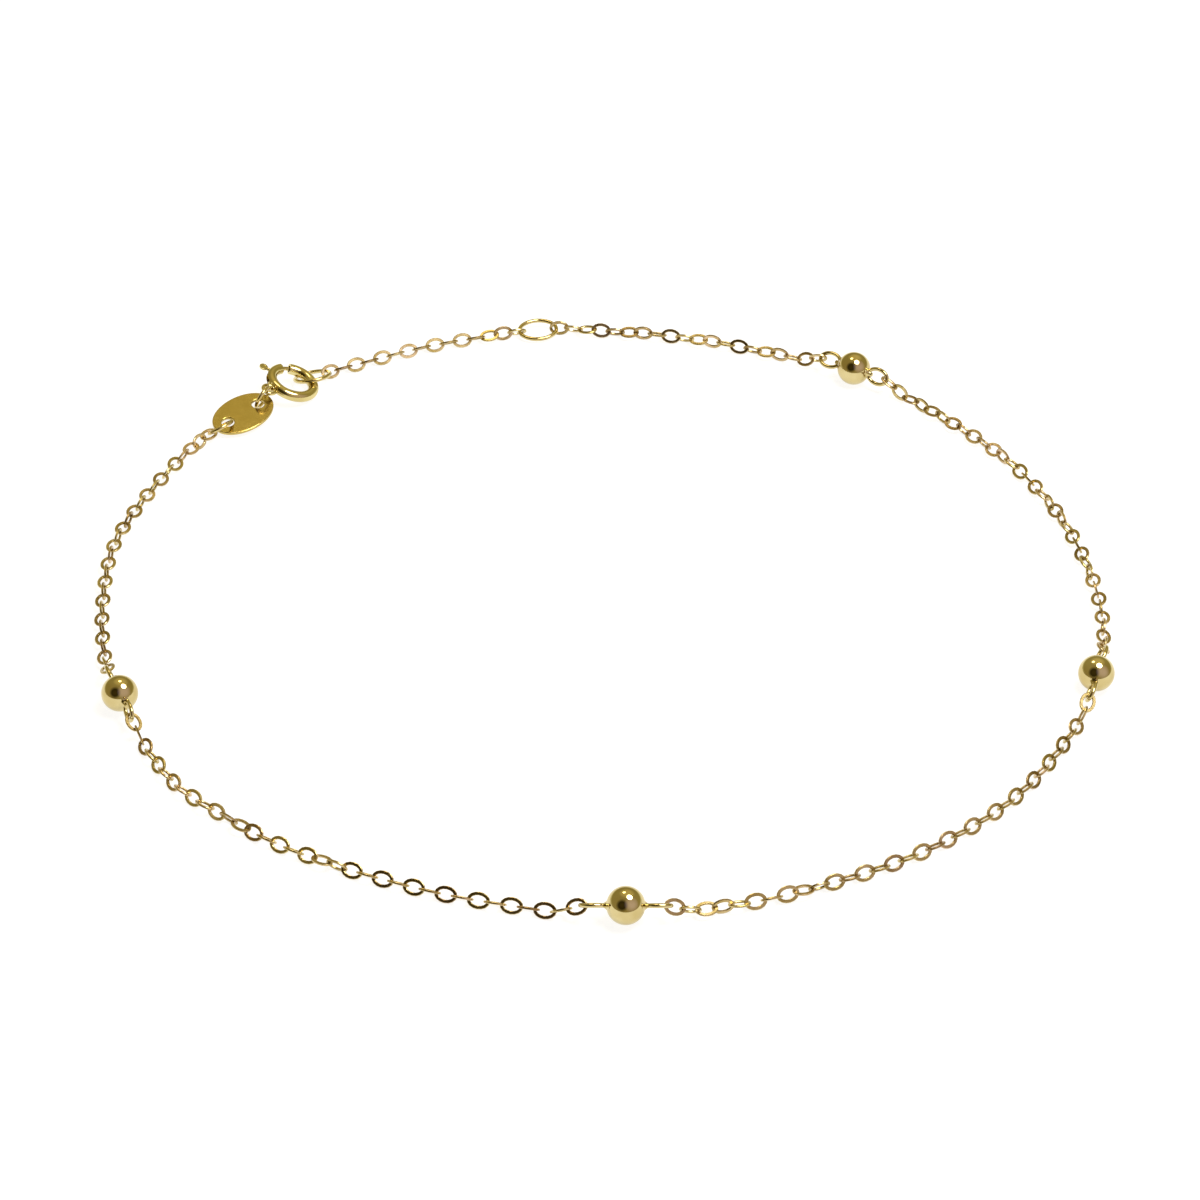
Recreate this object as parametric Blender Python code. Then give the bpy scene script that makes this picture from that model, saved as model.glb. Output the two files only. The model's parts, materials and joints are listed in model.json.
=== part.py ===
"""Chain anklet: flat cable chain with four ball stations, an adjusting ring, a spring ring clasp and
an oval tag, lying closed in a ring on the floor. Metres, +Z up, front towards -Y."""

import math

import bmesh
import bpy
from mathutils import Matrix, Vector

# Chain links: ovals of flattened wire
link_length = 0.00171
link_width = 0.00126
link_wire = 0.000225  # across the wire, in the plane of the link
link_wire_thick = 0.00019
link_sides = 5
link_steps = 10
fuse = 0.00004  # how far neighbouring links sink into each other, so that a stretch is one solid
hook_gap = 0.00014  # clearance where separate pieces hook through each other
tube_every = 2  # links between two points of a stretch's tube
descent_links = 2  # links that come down from a ball's height to the floor

# Ball stations
ball_diameter = 0.003
loop_length = 0.0023
loop_width = 0.00172
loop_wire = 0.00033
loop_sunk = 0.00017  # how far a loop is soldered into the ball
ball_segments = 16
ball_rings = 8

# Adjusting ring and end ring
adjust_length = 0.0038
adjust_width = 0.003
adjust_wire = 0.0004
adjust_bank = math.radians(7)
end_ring_diameter = 0.00356
end_ring_wire = 0.00036
end_ring_height = 0.00075
end_ring_offset = 0.00238  # from the clasp's centre to the end ring's centre
end_ring_rise_along = math.radians(6.7)
end_ring_bank = math.radians(19.5)
ring_sides = 6
ring_steps = 14

# Spring ring clasp, leaning with its eye end up. Angles go round its centre, from the eye
clasp_diameter = 0.00491
clasp_tube = 0.00098
clasp_bore = 0.00056
clasp_height = 0.00123
clasp_rise_along = math.radians(12.9)
clasp_bank = math.radians(16)
mouth_from = math.radians(238)
mouth_to = math.radians(264)
bolt_diameter = 0.00037
bolt_from = math.radians(229)
bolt_to = math.radians(300)
bolt_travel = math.radians(39)
lever_at = math.radians(294)
lever_stem = 0.0003
lever_reach = 0.00055  # of the thumb piece's centre beyond the tube
lever_length = 0.00085
lever_width = 0.00075
lever_thickness = 0.0004
slot_margin = math.radians(7)
slot_width = 0.00046
eye_diameter = 0.0015
eye_wire = 0.00034
eye_sunk = 0.0003
clasp_sides = 10
clasp_steps = 24
rod_sides = 8
arc_steps = 7
thumb_segments = 10
thumb_rings = 6

# Tag and its two jump rings
tag_length = 0.0062
tag_width = 0.0042
tag_thickness = 0.0003
tag_hole = 0.00115
tag_hole_offset = 0.00175
tag_height = 0.00089
tag_dip_along = math.radians(6)
tag_bank = math.radians(7.4)
tag_tuck = 0.0005  # how far the tag reaches under the clasp's eye
clasp_ring_radius = 0.00105  # of the wire's centreline
clasp_ring_ahead = 0.0001  # of its centre, past the middle between eye and hole
clasp_ring_above = 0.00008
chain_ring_length = 0.0023  # of the wire's centreline
chain_ring_width = 0.0019
jump_wire = 0.00032
jump_steps = 12
tag_steps = 32
hole_sides = 12
clasp_ring_lean = math.radians(0)
chain_ring_lean = math.radians(-35)
chain_ring_hole_at = math.radians(215)
chain_ring_link_at = math.radians(330)

# The stretches in order, from the tag round by the front to the end ring. A lean is the roll of the
# even links in degrees, 0 flat and 90 on edge, given at a few links and even between them. The odd
# links lie square to it.
STRETCHES = {
    "chain_left": {
        "links": 29, "solid_links": True,
        "leans": [(0, -5), (1, 22), (2, -10), (4, -28), (14, 0), (28, 20)],
    },
    "chain_front_left": {
        "links": 35, "solid_links": False,
        "leans": [(0, -10), (2, 30), (10, 48), (13, -42), (17, -40), (20, 50), (34, 50)],
    },
    "chain_front_right": {
        "links": 35, "solid_links": False,
        "leans": [(0, 50), (5, -40), (7, -40), (10, 50), (34, 25)],
    },
    "chain_right": {
        "links": 35, "solid_links": True,
        "leans": [
            (0, 32), (6, -15), (8, -18), (11, 62), (13, 60), (16, -22), (19, 56), (21, 52), (24, -26),
            (26, -30), (34, 20),
        ],
    },
    "chain_back": {
        "links": 20, "solid_links": True,
        "leans": [(0, 57), (16, -231), (19, -345)],
    },
    "chain_extension": {
        "links": 15, "solid_links": True,
        "leans": [(0, 52), (3, -50), (14, -50)],
    },
}

# The way the anklet lies, as seen from above: hand-chosen points, first the clasp, then the tag and
# on round by the left, the front and the right. The whole way is scaled to the length of the pieces.
ROUTE = [
    (-0.0276, 0.0305), (-0.0316, 0.0261), (-0.0349, 0.0226), (-0.0382, 0.0160),
    (-0.0409, 0.0078), (-0.0413, 0.0006), (-0.0406, -0.0070), (-0.0388, -0.0140),
    (-0.0341, -0.0233), (-0.0304, -0.0275), (-0.0235, -0.0326), (-0.0160, -0.0361),
    (-0.0084, -0.0385), (0.0020, -0.0402), (0.0104, -0.0387), (0.0179, -0.0361),
    (0.0254, -0.0321), (0.0323, -0.0260), (0.0375, -0.0180), (0.0401, -0.0118),
    (0.0414, -0.0040), (0.0410, 0.0036), (0.0392, 0.0115), (0.0354, 0.0199),
    (0.0286, 0.0281), (0.0229, 0.0328), (0.0165, 0.0362), (0.0077, 0.0391),
    (-0.0014, 0.0404), (-0.0060, 0.0404), (-0.0149, 0.0379), (-0.0208, 0.0352),
    (-0.0252, 0.0328),
]

GOLD = (0.80, 0.58, 0.22, 1.0)


def clear_scene():
    for obj in list(bpy.data.objects):
        bpy.data.objects.remove(obj, do_unlink=True)


def new_collection(name):
    collection = bpy.data.collections.new(name)
    bpy.context.scene.collection.children.link(collection)
    return collection


def gold(name, roughness):
    """Each piece has a polished gold material of its own."""
    material = bpy.data.materials.new(name + "_gold")
    material.use_nodes = True
    shader = material.node_tree.nodes["Principled BSDF"]
    shader.inputs["Base Color"].default_value = GOLD
    shader.inputs["Metallic"].default_value = 1.0
    shader.inputs["Roughness"].default_value = roughness
    return material


def add_object(name, shape, collection, roughness=0.15):
    """A mesh object from a bmesh, which is freed."""
    mesh = bpy.data.meshes.new(name)
    shape.to_mesh(mesh)
    shape.free()
    obj = bpy.data.objects.new(name, mesh)
    collection.objects.link(obj)
    mesh.materials.append(gold(name, roughness))
    return obj


def add_helper(name, shape):
    """An operand of a Boolean: not rendered, drawn as wire."""
    mesh = bpy.data.meshes.new(name)
    shape.to_mesh(mesh)
    shape.free()
    obj = bpy.data.objects.new(name, mesh)
    cutters.objects.link(obj)
    obj.hide_render = True
    obj.display_type = "WIRE"
    return obj


def boolean(obj, helper, operation):
    modifier = obj.modifiers.new(operation.title() + " " + helper.name, "BOOLEAN")
    modifier.object = helper
    modifier.operation = operation
    modifier.solver = "EXACT"


def placed_copy(target, source, matrix):
    """Adds a copy of one bmesh to another, moved by matrix."""
    new = {vert: target.verts.new(matrix @ vert.co) for vert in source.verts}
    for face in source.faces:
        target.faces.new([new[vert] for vert in face.verts])


def torus(steps, sides):
    """Blender's torus of radius 1 with a tube of 0.5, as a bmesh about Z."""
    bpy.ops.mesh.primitive_torus_add(
        major_segments=steps, minor_segments=sides, major_radius=1.0, minor_radius=0.5
    )
    obj = bpy.context.object
    shape = bmesh.new()
    shape.from_mesh(obj.data)
    mesh = obj.data
    bpy.data.objects.remove(obj, do_unlink=True)
    bpy.data.meshes.remove(mesh)
    return shape


def oval(length, width, wire, thick, steps, sides):
    """A closed wire ring of outer length along X and outer width along Y, flat in XY. Straight
    stretches cross its ends, and an edge of the wire faces inwards."""
    shape = torus(steps, sides)
    angles = [(step + 0.5) * 2 * math.pi / steps for step in range(steps)]
    along = (length - wire) / 2 / max(math.cos(angle) for angle in angles)
    across = (width - wire) / 2 / max(math.sin(angle) for angle in angles)
    for vert in shape.verts:
        angle = math.atan2(vert.co.y, vert.co.x) + math.pi / steps
        outwards = Vector((math.cos(angle) * across, math.sin(angle) * along, 0)).normalized()
        offset = (1 - math.hypot(vert.co.x, vert.co.y)) * wire
        centre = Vector((math.cos(angle) * along, math.sin(angle) * across, 0))
        vert.co = centre + outwards * offset - Vector((0, 0, vert.co.z * thick))
    return shape


def round_section(radius, wire, sides):
    """(distance from the axis, height) of a round wire's section at a radius."""
    turns = [2 * math.pi * side / sides for side in range(sides)]
    return [(radius + wire / 2 * math.cos(turn), wire / 2 * math.sin(turn)) for turn in turns]


def arc_solid(section, start, end, steps):
    """A section swept about Z from one angle to another, with flat ends."""
    shape = bmesh.new()
    rings = []
    for step in range(steps + 1):
        turn = Matrix.Rotation(start + (end - start) * step / steps, 4, "Z")
        rings.append([shape.verts.new(turn @ Vector((reach, 0, height))) for reach, height in section])
    sides = len(section)
    for here, there in zip(rings, rings[1:]):
        for side in range(sides):
            after = (side + 1) % sides
            shape.faces.new((here[side], here[after], there[after], there[side]))
    shape.faces.new(rings[0])
    shape.faces.new(list(reversed(rings[-1])))
    bmesh.ops.recalc_face_normals(shape, faces=shape.faces)
    return shape


def cylinder(radius, height, sides, matrix):
    """A cylinder that rises along Z from its foot, moved by matrix."""
    shape = bmesh.new()
    bmesh.ops.create_cone(
        shape, cap_ends=True, segments=sides, radius1=radius, radius2=radius,
        depth=height, matrix=matrix @ Matrix.Translation((0, 0, height / 2)),
    )
    return shape


def level_frame(centre, ahead, rise=0.0, bank=0.0):
    """A frame at centre whose X heads for ahead, nose up by rise, with its left side up by bank."""
    way = ahead - centre
    heading = math.atan2(way.y, way.x)
    return (
        Matrix.Translation(centre)
        @ Matrix.Rotation(heading, 4, "Z")
        @ Matrix.Rotation(-rise, 4, "Y")
        @ Matrix.Rotation(bank, 4, "X")
    )


def link_frame(start, end, roll):
    """A frame midway between two points with X from one to the other, rolled about it."""
    way = end - start
    rise = math.atan2(way.z, math.hypot(way.x, way.y))
    return level_frame((start + end) / 2, end, rise, roll)


def lean_at(stretch, index):
    table = STRETCHES[stretch]["leans"]
    for (first, lean), (last, next_lean) in zip(table, table[1:]):
        if index <= last:
            return math.radians(lean + (next_lean - lean) * (index - first) / (last - first))
    return math.radians(table[-1][1])


def roll_at(stretch, index):
    return lean_at(stretch, index) + math.pi / 2 * (index % 2)


def axis_height(stretch, index):
    """Height at which the chain's axis runs when its links stand on their edges on the floor."""
    lean = lean_at(stretch, index)
    reach = (link_width - link_wire) / 2 * max(abs(math.sin(lean)), abs(math.cos(lean)))
    return reach + link_wire / 2


# Half lengths of the pieces, between the places where their neighbours hold them
link_hold = link_length / 2 - link_wire
station_hold = ball_diameter / 2 - loop_sunk + loop_length - loop_wire - hook_gap / 2
adjust_hold = adjust_length / 2 - adjust_wire - hook_gap / 2
end_ring_hold = end_ring_diameter / 2 - end_ring_wire - hook_gap / 2
eye_reach = clasp_diameter / 2 + eye_diameter / 2 - eye_sunk
tag_at = (
    (eye_reach + eye_diameter / 2) * math.cos(clasp_rise_along)
    + tag_length / 2 * math.cos(tag_dip_along) - tag_tuck
)
far_hole_height = tag_height - tag_hole_offset * math.sin(tag_dip_along)


def oval_point(length, width, angle):
    return Vector((length / 2 * math.cos(angle), width / 2 * math.sin(angle), 0))


chain_ring_hook = oval_point(chain_ring_length, chain_ring_width, chain_ring_hole_at)
chain_ring_hold = oval_point(
    chain_ring_length - jump_wire - hook_gap, chain_ring_width - jump_wire - hook_gap, chain_ring_link_at
)


def contacts(stretch, distance, first_height=None, last_height=None):
    """(distance along the way, height) of each place where links hook, from one end to the other."""
    count = STRETCHES[stretch]["links"]
    heights = [axis_height(stretch, min(k, count - 1)) for k in range(count + 1)]
    for end_height, order in ((first_height, range(count + 1)), (last_height, range(count, -1, -1))):
        if end_height is None:
            continue
        for step, k in enumerate(order):
            if step < descent_links:
                share = step / descent_links
                heights[k] = end_height + (heights[k] - end_height) * share
    places = [(distance, heights[0])]
    for k in range(count):
        length = 2 * link_hold + fuse
        if k in (0, count - 1):
            length -= (fuse + hook_gap) / 2
        drop = heights[k + 1] - heights[k]
        distance += math.sqrt(length**2 - drop**2)
        places.append((distance, heights[k + 1]))
    return places


def lay_out():
    """Distances of all pieces along the way, from the clasp's centre, and its whole length."""
    ball = ball_diameter / 2
    end_height = end_ring_height - end_ring_hold * math.sin(end_ring_rise_along)
    place = {"clasp": 0.0, "tag": tag_at}
    place["tag_far_hole"] = tag_at + tag_hole_offset * math.cos(tag_dip_along)
    chord = (chain_ring_hold - chain_ring_hook).length
    drop = far_hole_height - axis_height("chain_left", 0)
    start = place["tag_far_hole"] + math.sqrt(chord**2 - drop**2)
    after = {
        "chain_left": ("bead_4", station_hold, None, ball),
        "chain_front_left": ("bead_3", station_hold, ball, ball),
        "chain_front_right": ("bead_2", station_hold, ball, ball),
        "chain_right": ("bead_1", station_hold, ball, ball),
        "chain_back": ("adjust_ring", adjust_hold, ball, None),
        "chain_extension": ("end_ring", end_ring_hold, None, end_height),
    }
    for stretch, (piece, hold, first_height, last_height) in after.items():
        place[stretch] = contacts(stretch, start, first_height, last_height)
        place[piece] = place[stretch][-1][0] + hold
        start = place[piece] + hold
    return place, place["end_ring"] + end_ring_offset


def smooth_way(points, length):
    """A closed smooth curve through the points, scaled to a length: its points and distances."""
    steps = 24
    samples = []
    count = len(points)
    for k in range(count):
        before, here, there, beyond = (Vector((*points[(k + n) % count], 0)) for n in (-1, 0, 1, 2))
        for step in range(steps):
            t = step / steps
            samples.append(
                0.5 * (2 * here + (there - before) * t
                       + (2 * before - 5 * here + 4 * there - beyond) * t**2
                       + (3 * here - before - 3 * there + beyond) * t**3)
            )
    samples.append(samples[0])
    run = [0.0]
    for here, there in zip(samples, samples[1:]):
        run.append(run[-1] + (there - here).length)
    scale = length / run[-1]
    return [point * scale for point in samples], [reach * scale for reach in run]


def at(distance, height=0.0):
    """The point of the way at a distance from the clasp's centre."""
    distance %= way_length
    for k in range(len(way_run) - 1):
        if distance <= way_run[k + 1]:
            share = (distance - way_run[k]) / (way_run[k + 1] - way_run[k])
            point = way_points[k].lerp(way_points[k + 1], share)
            return Vector((point.x, point.y, height))
    return Vector((way_points[-1].x, way_points[-1].y, height))


def chain_of_links(stretch, indices, places):
    """The given links of a stretch, in their places, in one bmesh."""
    link = oval(link_length, link_width, link_wire, link_wire_thick, link_steps, link_sides)
    joined = bmesh.new()
    count = STRETCHES[stretch]["links"]
    for k in indices:
        start, end = (at(*places[n]) for n in (k, k + 1))
        # The end links' centres lie a little nearer to their outer contacts than to their inner ones
        shift = (fuse + hook_gap) / 4
        offset = shift if k == 0 else -shift if k == count - 1 else 0.0
        frame = link_frame(start, end, roll_at(stretch, k))
        placed_copy(joined, link, frame @ Matrix.Translation((-offset, 0, 0)))
    link.free()
    return joined


def make_linked_stretch(stretch, places):
    """A chain whose even links are joined to its odd ones where they hook into each other."""
    count = STRETCHES[stretch]["links"]
    chain = add_object(stretch, chain_of_links(stretch, range(0, count, 2), places), anklet)
    odd = add_helper(stretch + "_odd_links", chain_of_links(stretch, range(1, count, 2), places))
    boolean(chain, odd, "UNION")
    return chain


def make_tube_stretch(stretch, places):
    """A chain drawn as a tube, with its end links in full."""
    count = STRETCHES[stretch]["links"]
    curve = bpy.data.curves.new(stretch + "_tube", "CURVE")
    curve.dimensions = "3D"
    curve.bevel_depth = (link_width - link_wire) / 2 * math.sqrt(0.5) + link_wire / 2
    curve.bevel_resolution = 2
    curve.use_fill_caps = True
    spline = curve.splines.new("POLY")
    inner = places[1:-1]
    picked = inner[::tube_every] + ([inner[-1]] if (len(inner) - 1) % tube_every else [])
    spline.points.add(len(picked) - 1)
    for point, place in zip(spline.points, picked):
        point.co = (*at(*place), 1.0)
    tube = bpy.data.objects.new(stretch + "_tube", curve)
    anklet.objects.link(tube)
    bpy.context.view_layer.update()
    solid = bpy.data.meshes.new_from_object(tube.evaluated_get(bpy.context.evaluated_depsgraph_get()))
    shape = bmesh.new()
    shape.from_mesh(solid)
    shape.transform(tube.matrix_world)
    bmesh.ops.remove_doubles(shape, verts=shape.verts, dist=1e-6)
    bpy.data.objects.remove(tube, do_unlink=True)
    bpy.data.meshes.remove(solid)
    chain = add_object(stretch, shape, anklet)
    ends = add_helper(stretch + "_end_links", chain_of_links(stretch, (0, count - 1), places))
    boolean(chain, ends, "UNION")
    return chain


def make_bead(name, distance, before, after):
    """A ball with a soldered loop on each side, square to the links that hook into them."""
    height = ball_diameter / 2
    start, end = at(distance - station_hold, height), at(distance + station_hold, height)
    shape = bmesh.new()
    bmesh.ops.create_uvsphere(
        shape, u_segments=ball_segments, v_segments=ball_rings, radius=ball_diameter / 2
    )
    bmesh.ops.rotate(shape, verts=shape.verts, matrix=Matrix.Rotation(math.pi / 2, 3, "Y"))
    ball = add_object(name, shape, anklet, 0.08)
    ball.matrix_world = link_frame(start, end, 0.0)
    last = STRETCHES[before]["links"] - 1
    centre = ball_diameter / 2 - loop_sunk + loop_length / 2
    for side, roll in ((-1, roll_at(before, last)), (1, roll_at(after, 0))):
        loop = oval(loop_length, loop_width, loop_wire, loop_wire, link_steps, ring_sides)
        loop.transform(ball.matrix_world @ Matrix.Rotation(roll + math.pi / 2, 4, "X")
                       @ Matrix.Translation((side * centre, 0, 0)))
        boolean(ball, add_helper(f"{name}_loop_{'before' if side < 0 else 'after'}", loop), "UNION")
    return ball


def make_ring(name, frame, length, width, wire, steps=ring_steps):
    ring = add_object(name, oval(length, width, wire, wire, steps, ring_sides), anklet)
    ring.matrix_world = frame
    return ring


def hooked_ring(name, hook, hold, length, width, hook_point, hold_point, lean):
    """A jump ring, given by its wire's centreline, whose hook_point and hold_point lie on hook and
    hold. It stands on edge, leaning by lean to its left."""
    chord = hold_point - hook_point
    turn = Matrix.Rotation(-math.atan2(chord.y, chord.x), 4, "Z")
    middle = Matrix.Translation(-(hook_point + hold_point) / 2)
    frame = link_frame(hook, hold, math.pi / 2 + lean) @ turn @ middle
    return make_ring(name, frame, length + jump_wire, width + jump_wire, jump_wire, jump_steps)


def make_clasp(frame):
    """The spring ring's hollow tube with its mouth, lever slot and eye, and the bolt inside it."""
    radius = (clasp_diameter - clasp_tube) / 2
    wire = round_section(radius, clasp_tube, clasp_sides)
    tube = arc_solid(wire, mouth_to, mouth_from + 2 * math.pi, clasp_steps)
    body = add_object("clasp_body", tube, anklet, 0.1)
    body.matrix_world = frame
    eye = oval(eye_diameter, eye_diameter, eye_wire, eye_wire, link_steps, ring_sides)
    eye.transform(frame @ Matrix.Translation((eye_reach, 0, 0)))
    boolean(body, add_helper("clasp_eye", eye), "UNION")
    bore_from = bolt_from - slot_margin
    slot_from = lever_at - slot_margin
    slot_to = lever_at + bolt_travel + slot_margin
    bore = arc_solid(round_section(radius, clasp_bore, clasp_sides), bore_from, slot_to, 2 * arc_steps)
    bore.transform(frame)
    boolean(body, add_helper("clasp_bore", bore), "DIFFERENCE")
    outside = radius + clasp_tube
    edge = slot_width / 2
    notch = [(radius, -edge), (outside, -edge), (outside, edge), (radius, edge)]
    slot = arc_solid(notch, slot_from, slot_to, arc_steps)
    slot.transform(frame)
    boolean(body, add_helper("clasp_lever_slot", slot), "DIFFERENCE")

    rod = arc_solid(round_section(radius, bolt_diameter, rod_sides), bolt_from, bolt_to, arc_steps)
    bolt = add_object("clasp_bolt", rod, anklet, 0.1)
    bolt.matrix_world = frame
    out = frame @ Matrix.Rotation(lever_at, 4, "Z") @ Matrix.Translation((radius, 0, 0))
    stem_length = clasp_tube / 2 + lever_reach
    stem = cylinder(lever_stem / 2, stem_length, rod_sides, out @ Matrix.Rotation(math.pi / 2, 4, "Y"))
    boolean(bolt, add_helper("lever_stem", stem), "UNION")
    thumb = bmesh.new()
    bmesh.ops.create_uvsphere(thumb, u_segments=thumb_segments, v_segments=thumb_rings, radius=0.5)
    thumb.transform(out @ Matrix.Translation((stem_length, 0, 0))
                    @ Matrix.Diagonal((lever_length, lever_width, lever_thickness, 1)))
    boolean(bolt, add_helper("lever_thumb", thumb), "UNION")
    return body, bolt


def make_tag(frame):
    """A flat oval plate with a hole near each end."""
    plate = bmesh.new()
    bmesh.ops.create_cone(
        plate, cap_ends=True, segments=tag_steps, radius1=0.5, radius2=0.5, depth=tag_thickness
    )
    bmesh.ops.scale(plate, verts=plate.verts, vec=(tag_length, tag_width, 1))
    tag = add_object("tag", plate, anklet, 0.35)
    tag.matrix_world = frame
    for side, end in ((-1, "near"), (1, "far")):
        start = frame @ Matrix.Translation((side * tag_hole_offset, 0, -tag_thickness))
        hole = cylinder(tag_hole / 2, 2 * tag_thickness, hole_sides, start)
        boolean(tag, add_helper(f"tag_hole_{end}", hole), "DIFFERENCE")
    return tag


clear_scene()
anklet = new_collection("chain_anklet")
cutters = new_collection("cutters")

place, way_length = lay_out()
way_points, way_run = smooth_way(ROUTE, way_length)

for stretch, settings in STRETCHES.items():
    make = make_linked_stretch if settings["solid_links"] else make_tube_stretch
    make(stretch, place[stretch])

for bead, before, after in (
    ("bead_4", "chain_left", "chain_front_left"),
    ("bead_3", "chain_front_left", "chain_front_right"),
    ("bead_2", "chain_front_right", "chain_right"),
    ("bead_1", "chain_right", "chain_back"),
):
    make_bead(bead, place[bead], before, after)

adjust_height = place["chain_extension"][0][1]
adjust_frame = level_frame(
    at(place["adjust_ring"], adjust_height), at(place["adjust_ring"] + adjust_hold, adjust_height),
    bank=-adjust_bank,
)
make_ring("adjust_ring", adjust_frame, adjust_length, adjust_width, adjust_wire)

end_frame = level_frame(
    at(place["end_ring"], end_ring_height), at(way_length, end_ring_height),
    rise=end_ring_rise_along, bank=end_ring_bank,
)
make_ring("end_ring", end_frame, end_ring_diameter, end_ring_diameter, end_ring_wire)

clasp_frame = level_frame(
    at(0, clasp_height), at(eye_reach, clasp_height), rise=clasp_rise_along, bank=-clasp_bank
)
make_clasp(clasp_frame)

tag_frame = level_frame(
    at(place["tag"], tag_height), at(place["tag_far_hole"], tag_height),
    rise=-tag_dip_along, bank=-tag_bank,
)
make_tag(tag_frame)

eye_centre = clasp_frame @ Vector((eye_reach, 0, 0))
near_hole = tag_frame @ Vector((-tag_hole_offset, 0, 0))
far_hole = tag_frame @ Vector((tag_hole_offset, 0, 0))
half_chord = (near_hole - eye_centre).length / 2
hooked_ring(
    "tag_ring_clasp", eye_centre, near_hole, 2 * clasp_ring_radius, 2 * clasp_ring_radius,
    Vector((-half_chord - clasp_ring_ahead, -clasp_ring_above, 0)),
    Vector((half_chord - clasp_ring_ahead, -clasp_ring_above, 0)), clasp_ring_lean,
)
hooked_ring(
    "tag_ring_chain", far_hole, at(*place["chain_left"][0]), chain_ring_length, chain_ring_width,
    chain_ring_hook, chain_ring_hold, chain_ring_lean,
)


def settle():
    """Moves everything so that the anklet lies on the floor, centred on the origin."""
    bpy.context.view_layer.update()
    graph = bpy.context.evaluated_depsgraph_get()
    corners = []
    for obj in anklet.objects:
        solid = obj.evaluated_get(graph)
        corners += [obj.matrix_world @ vert.co for vert in solid.data.vertices]
    low = [min(corner[axis] for corner in corners) for axis in range(3)]
    high = [max(corner[axis] for corner in corners) for axis in range(3)]
    shift = Matrix.Translation((-(low[0] + high[0]) / 2, -(low[1] + high[1]) / 2, -low[2]))
    for obj in list(anklet.objects) + list(cutters.objects):
        obj.matrix_world = shift @ obj.matrix_world
    bpy.context.view_layer.update()


settle()
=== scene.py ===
import json
import math

import bmesh
import bpy
from mathutils import Matrix, Vector

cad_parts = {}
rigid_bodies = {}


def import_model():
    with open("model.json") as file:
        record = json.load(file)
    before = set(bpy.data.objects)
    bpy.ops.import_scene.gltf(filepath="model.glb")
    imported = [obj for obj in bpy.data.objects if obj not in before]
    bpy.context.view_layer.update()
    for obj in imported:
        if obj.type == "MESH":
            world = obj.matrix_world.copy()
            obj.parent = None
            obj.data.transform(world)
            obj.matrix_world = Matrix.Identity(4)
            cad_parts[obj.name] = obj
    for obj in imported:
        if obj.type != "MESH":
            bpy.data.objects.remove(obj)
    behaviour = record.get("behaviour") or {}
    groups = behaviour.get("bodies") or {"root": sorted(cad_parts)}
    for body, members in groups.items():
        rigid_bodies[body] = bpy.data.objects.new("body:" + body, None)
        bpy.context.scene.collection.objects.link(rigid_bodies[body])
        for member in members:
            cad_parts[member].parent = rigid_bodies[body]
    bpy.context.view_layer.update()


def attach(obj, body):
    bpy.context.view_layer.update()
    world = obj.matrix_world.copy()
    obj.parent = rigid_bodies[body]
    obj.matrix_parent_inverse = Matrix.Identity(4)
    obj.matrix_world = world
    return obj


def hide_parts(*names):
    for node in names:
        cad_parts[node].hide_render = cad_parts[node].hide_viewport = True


# The scene starts empty
for leftover in list(bpy.data.objects):
    bpy.data.objects.remove(leftover, do_unlink=True)
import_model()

# The chain. A fine flat cable chain of yellow gold: each link is an oval of flattened wire, hooked
# square through the next one and soldered shut. Six stretches of it run between the tag, four balls,
# the adjusting ring and the end ring, and lie twisted as they fell on the table.
link_length = 0.00184
link_width = 0.00134
link_wire = 0.00027
link_thickness = 0.00018
link_edge_round = 0.00004
link_steps = 16
link_pitch = 0.0013
end_link_slack = 0.00009  # an end link reaches less far, because it hooks round thicker wire
descent_links = 2  # the chain comes down from a ball or a ring to the table over so many links
resting_reach = 0.0005175  # from a standing link's middle to the middle of its wire
resting_wire = 0.0001125  # half of that wire's width
crisp_above = 40  # an edge stays crisp where its faces turn by more than so many degrees

ball_diameter = 0.003
ball_loop_reach = 0.00323  # from a ball's centre to where the chain hooks into its loop
adjust_reach = 0.00143  # the same for the adjusting ring
end_ring_reach = 0.00135  # the same for the end ring
end_ring_hooked_at = 0.000592  # height of the place where the last link hooks into the end ring
first_contact = 0.009633  # of the chain, along the way from the clasp's centre
loop_around = 0.259214  # length of the line that the anklet lies on

# Of each stretch, the number of links, and at a few of them the roll in degrees of the even links.
# It runs evenly between them, and each odd link is a quarter turn on.
STRETCHES = {
    "chain_left": (29, [(0, -5), (1, 22), (2, -10), (4, -28), (14, 0), (28, 20)]),
    "chain_front_left": (35, [(0, -10), (2, 40), (10, 60), (13, -42), (17, -40), (20, 50), (34, 50)]),
    "chain_front_right": (35, [(0, 50), (5, -40), (7, -40), (10, 62), (29, 46), (34, 25)]),
    "chain_right": (35, [
        (0, 32), (6, -15), (8, -18), (11, 62), (13, 60), (16, -22), (19, 56), (21, 52), (24, -26),
        (26, -30), (34, 20),
    ]),
    "chain_back": (20, [(0, 57), (16, -231), (19, -345)]),
    "chain_extension": (15, [(0, 52), (3, -50), (14, -50)]),
}
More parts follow.
